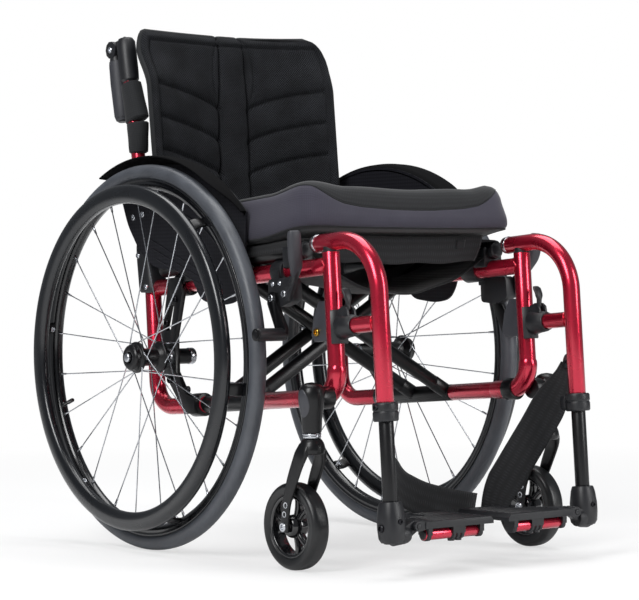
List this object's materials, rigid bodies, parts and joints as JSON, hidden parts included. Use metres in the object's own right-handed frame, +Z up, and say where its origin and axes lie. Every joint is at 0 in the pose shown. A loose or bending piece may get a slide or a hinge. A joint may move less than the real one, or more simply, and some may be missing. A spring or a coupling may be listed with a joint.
{
  "type": "folding active wheelchair",
  "caption": "Folding active wheelchair: tubular side frames on a cross-brace, large spoked wheels with push rings, castors, swing-away footrests, padded seat cushion and back.",
  "frame": {"origin": "on the floor, under the middle of the chair's outer box", "axes": "+Z up, -Y the way the chair faces, +X the user's left; rest pose unfolded with the footplates down and the castors trailing"},
  "size_m": [0.586, 0.825, 0.812],
  "materials": {
    "red_paint": "metallic gloss",
    "black_plastic": "satin",
    "black_metal": "satin",
    "tyre_rubber": "matte",
    "castor_rubber": "satin",
    "bright_steel": "polished",
    "gloss_shell": "gloss",
    "cushion_cloth": "matte",
    "back_cloth": "matte",
    "webbing": "matte"
  },
  "bodies": {
    "frame_right": {"side_frame_right": "red_paint", "back_cane_right": "black_metal", "cane_socket_right": "black_plastic", "axle_bracket_right": "black_metal", "sideguard_right": "gloss_shell", "castor_housing_right": "black_metal", "brake_mount_right": "black_plastic", "seat_saddle_right": "black_plastic", "hanger_catch_right": "black_plastic", "back_upholstery": "back_cloth"},
    "frame_left": {"side_frame_left": "red_paint", "back_cane_left": "black_metal", "cane_socket_left": "black_plastic", "axle_bracket_left": "black_metal", "sideguard_left": "gloss_shell", "castor_housing_left": "black_metal", "brake_mount_left": "black_plastic", "seat_saddle_left": "black_plastic", "hanger_catch_left": "black_plastic"},
    "arm_a": {"cross_arm_a": "black_metal", "seat_sling": "webbing"},
    "arm_b": {"cross_arm_b": "black_metal"},
    "cushion": {"seat_cushion": "cushion_cloth"},
    "wheel_right": {"tyre_right": "tyre_rubber", "rim_right": "black_metal", "hub_right": "black_metal", "handrim_right": "black_metal"},
    "axle_button_right": {"axle_button_right": "bright_steel"},
    "castor_fork_right": {"castor_fork_right": "black_metal"},
    "castor_wheel_right": {"castor_wheel_right": "castor_rubber"},
    "brake_lever_right": {"brake_lever_right": "black_plastic"},
    "brake_shoe_right": {"brake_shoe_right": "black_metal"},
    "latch_lever_right": {"latch_lever_right": "black_plastic"},
    "footplate_right": {"footplate_right": "black_plastic"},
    "push_handle_right": {"push_handle_right": "black_plastic"},
    "hanger_right": {"hanger_tube_right": "red_paint", "hanger_latch_block_right": "black_plastic", "hanger_collar_right": "black_plastic", "footrest_tube_right": "black_metal", "footrest_elbow_right": "black_plastic", "calf_strap_right": "webbing"},
    "wheel_left": {"tyre_left": "tyre_rubber", "rim_left": "black_metal", "hub_left": "black_metal", "handrim_left": "black_metal"},
    "axle_button_left": {"axle_button_left": "bright_steel"},
    "castor_fork_left": {"castor_fork_left": "black_metal"},
    "castor_wheel_left": {"castor_wheel_left": "castor_rubber"},
    "brake_lever_left": {"brake_lever_left": "black_plastic"},
    "brake_shoe_left": {"brake_shoe_left": "black_metal"},
    "latch_lever_left": {"latch_lever_left": "black_plastic"},
    "footplate_left": {"footplate_left": "black_plastic"},
    "push_handle_left": {"push_handle_left": "black_plastic"},
    "hanger_left": {"hanger_tube_left": "red_paint", "hanger_latch_block_left": "black_plastic", "hanger_collar_left": "black_plastic", "footrest_tube_left": "black_metal", "footrest_elbow_left": "black_plastic", "calf_strap_left": "webbing"}
  },
  "joints": [
    {"name": "fold_a", "type": "hinge", "parent": "frame_right", "child": "arm_a", "pos_m": [-0.185, -0.02776, 0.22846], "axis": [0, -0.9973, 0.0732], "range_deg": [0, 40], "deforming": ["seat_cushion", "seat_sling", "back_upholstery", "calf_strap_right", "calf_strap_left"]},
    {"name": "fold_b", "type": "hinge", "parent": "arm_a", "child": "arm_b", "pos_m": [0, -0.0299, 0.33591], "axis": [0, -0.9973, 0.0732], "range_deg": [-80, 0]},
    {"name": "fold_c", "type": "hinge", "parent": "arm_b", "child": "frame_left", "pos_m": [0.185, -0.02776, 0.22846], "axis": [0, -0.9973, 0.0732], "range_deg": [0, 40]},
    {"name": "cushion_rise", "type": "slide", "parent": "frame_right", "child": "cushion", "axis": [0, 0.0732, 0.9973], "range_m": [0, 0.1883]},
    {"name": "wheel_spin_right", "type": "hinge", "parent": "frame_right", "child": "wheel_right", "pos_m": [-0.245, 0.1175, 0.295], "axis": [1, 0, 0], "continuous": true},
    {"name": "axle_button_press_right", "type": "slide", "parent": "wheel_right", "child": "axle_button_right", "axis": [1, 0, 0], "range_m": [0, 0.003], "stiffness_N_per_m": 400, "springref_m": -0.001},
    {"name": "castor_swivel_right", "type": "hinge", "parent": "frame_right", "child": "castor_fork_right", "pos_m": [-0.2276, -0.2685, 0.1755], "axis": [0, 0, 1], "continuous": true},
    {"name": "castor_roll_right", "type": "hinge", "parent": "castor_fork_right", "child": "castor_wheel_right", "pos_m": [-0.2276, -0.2305, 0.0625], "axis": [1, 0, 0], "continuous": true},
    {"name": "brake_lever_swing_right", "type": "hinge", "parent": "frame_right", "child": "brake_lever_right", "pos_m": [-0.2158, -0.198, 0.392], "axis": [1, 0, 0], "range_deg": [0, 35]},
    {"name": "brake_shoe_press_right", "type": "hinge", "parent": "frame_right", "child": "brake_shoe_right", "pos_m": [-0.2158, -0.1675, 0.386], "axis": [1, 0, 0], "range_deg": [0, 5.5]},
    {"name": "hanger_swing_right", "type": "hinge", "parent": "frame_right", "child": "hanger_right", "pos_m": [-0.185, -0.26213, 0.42315], "axis": [0, -0.0732, -0.9973], "range_deg": [0, 90]},
    {"name": "latch_press_right", "type": "hinge", "parent": "hanger_right", "child": "latch_lever_right", "pos_m": [-0.185, -0.29809, 0.37044], "axis": [1, 0, 0], "range_deg": [0, 20], "stiffness_Nm_per_rad": 0.05, "springref_deg": -17.19},
    {"name": "footplate_fold_right", "type": "hinge", "parent": "hanger_right", "child": "footplate_right", "pos_m": [-0.152, -0.3975, 0.071], "axis": [0, -1, 0], "range_deg": [0, 90]},
    {"name": "handle_fold_right", "type": "hinge", "parent": "frame_right", "child": "push_handle_right", "pos_m": [-0.185, 0.293, 0.78226], "axis": [1, 0, 0], "range_deg": [0, 100]},
    {"name": "wheel_spin_left", "type": "hinge", "parent": "frame_left", "child": "wheel_left", "pos_m": [0.245, 0.1175, 0.295], "axis": [1, 0, 0], "continuous": true},
    {"name": "axle_button_press_left", "type": "slide", "parent": "wheel_left", "child": "axle_button_left", "axis": [-1, 0, 0], "range_m": [0, 0.003], "stiffness_N_per_m": 400, "springref_m": -0.001},
    {"name": "castor_swivel_left", "type": "hinge", "parent": "frame_left", "child": "castor_fork_left", "pos_m": [0.2276, -0.2685, 0.1755], "axis": [0, 0, 1], "continuous": true},
    {"name": "castor_roll_left", "type": "hinge", "parent": "castor_fork_left", "child": "castor_wheel_left", "pos_m": [0.2276, -0.2305, 0.0625], "axis": [1, 0, 0], "continuous": true},
    {"name": "brake_lever_swing_left", "type": "hinge", "parent": "frame_left", "child": "brake_lever_left", "pos_m": [0.2158, -0.198, 0.392], "axis": [1, 0, 0], "range_deg": [0, 35]},
    {"name": "brake_shoe_press_left", "type": "hinge", "parent": "frame_left", "child": "brake_shoe_left", "pos_m": [0.2158, -0.1675, 0.386], "axis": [1, 0, 0], "range_deg": [0, 5.5]},
    {"name": "hanger_swing_left", "type": "hinge", "parent": "frame_left", "child": "hanger_left", "pos_m": [0.185, -0.26213, 0.42315], "axis": [0, 0.0732, 0.9973], "range_deg": [0, 90]},
    {"name": "latch_press_left", "type": "hinge", "parent": "hanger_left", "child": "latch_lever_left", "pos_m": [0.185, -0.29809, 0.37044], "axis": [1, 0, 0], "range_deg": [0, 20], "stiffness_Nm_per_rad": 0.05, "springref_deg": -17.19},
    {"name": "footplate_fold_left", "type": "hinge", "parent": "hanger_left", "child": "footplate_left", "pos_m": [0.152, -0.3975, 0.071], "axis": [0, 1, 0], "range_deg": [0, 90]},
    {"name": "handle_fold_left", "type": "hinge", "parent": "frame_left", "child": "push_handle_left", "pos_m": [0.185, 0.293, 0.78226], "axis": [1, 0, 0], "range_deg": [0, 100]}
  ],
  "couplings": [
    {"joint": "fold_b", "follows": "fold_a", "ratio": -2},
    {"joint": "fold_c", "follows": "fold_a", "ratio": 1},
    {"joint": "cushion_rise", "follows": "fold_a", "m_per_rad": 0.269},
    {"joint": "brake_shoe_press_right", "follows": "brake_lever_swing_right", "ratio": 0.15714},
    {"joint": "footplate_fold_right", "follows": "fold_a", "ratio": 2.25},
    {"joint": "brake_shoe_press_left", "follows": "brake_lever_swing_left", "ratio": 0.15714},
    {"joint": "footplate_fold_left", "follows": "fold_a", "ratio": 2.25}
  ]
}
